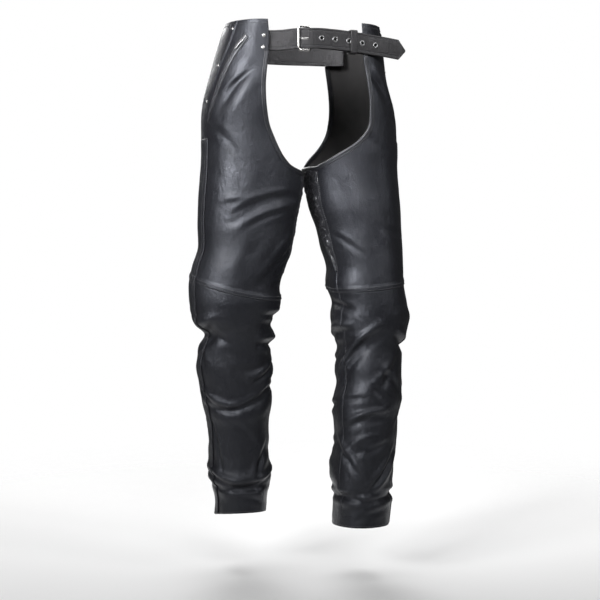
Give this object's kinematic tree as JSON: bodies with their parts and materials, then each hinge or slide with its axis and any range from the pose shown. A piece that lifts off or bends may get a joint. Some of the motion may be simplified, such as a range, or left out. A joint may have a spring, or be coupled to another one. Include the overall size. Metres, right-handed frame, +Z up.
{
  "type": "leather motorcycle chaps",
  "caption": "Black leather chaps in worn form: two full legs open at front and seat, buckled belt, stretch thigh panels, side flaps and a zipped hip pocket.",
  "frame": {"origin": "centre of the belt ring, on the belt's centre line, where the waist holds the garment", "axes": "+Z up, front towards -Y, the wearer's right leg at -X"},
  "size_m": [0.3957, 0.2338, 0.8924],
  "materials": {
    "leather": "satin",
    "gusset_leather": "satin",
    "belt_leather": "satin",
    "nickel": "polished",
    "buckle_nickel": "polished",
    "zip_metal": "satin",
    "zip_tape": "matte"
  },
  "bodies": {
    "garment": {"back_band": "belt_leather", "belt_buckle_strap": "belt_leather", "belt_eyelet_1": "nickel", "belt_eyelet_2": "nickel", "belt_eyelet_3": "nickel", "belt_eyelet_4": "nickel", "belt_eyelet_5": "nickel", "belt_keeper": "belt_leather", "belt_tongue": "belt_leather", "buckle_frame": "buckle_nickel", "buckle_prong": "buckle_nickel", "l_back_rivet_1": "nickel", "l_back_rivet_2": "nickel", "l_corner_rivet_1": "nickel", "l_corner_rivet_2": "nickel", "l_edge_binding": "leather", "l_hip_rivet_1": "nickel", "l_hip_rivet_2": "nickel", "l_hip_rivet_3": "nickel", "l_shin_back": "leather", "l_shin_front": "leather", "l_side_flap": "leather", "l_stretch_gusset": "gusset_leather", "l_thigh_back": "leather", "l_thigh_front": "leather", "pocket_zip_slider": "zip_metal", "pocket_zip_tape": "zip_tape", "r_back_rivet_1": "nickel", "r_back_rivet_2": "nickel", "r_corner_rivet_1": "nickel", "r_corner_rivet_2": "nickel", "r_edge_binding": "leather", "r_hip_rivet_1": "nickel", "r_hip_rivet_2": "nickel", "r_hip_rivet_3": "nickel", "r_shin_back": "leather", "r_shin_front": "leather", "r_side_flap": "leather", "r_stretch_gusset": "gusset_leather", "r_thigh_back": "leather", "r_thigh_front": "leather"},
    "zip_pull": {"pocket_zip_pull": "zip_metal"}
  },
  "joints": [
    {"name": "zip_pull_hinge", "type": "hinge", "parent": "garment", "child": "zip_pull", "pos_m": [-0.12682, -0.07554, -0.00223], "axis": [-0.4523, 0.6521, 0.6084], "range_deg": [0, 165]}
  ]
}
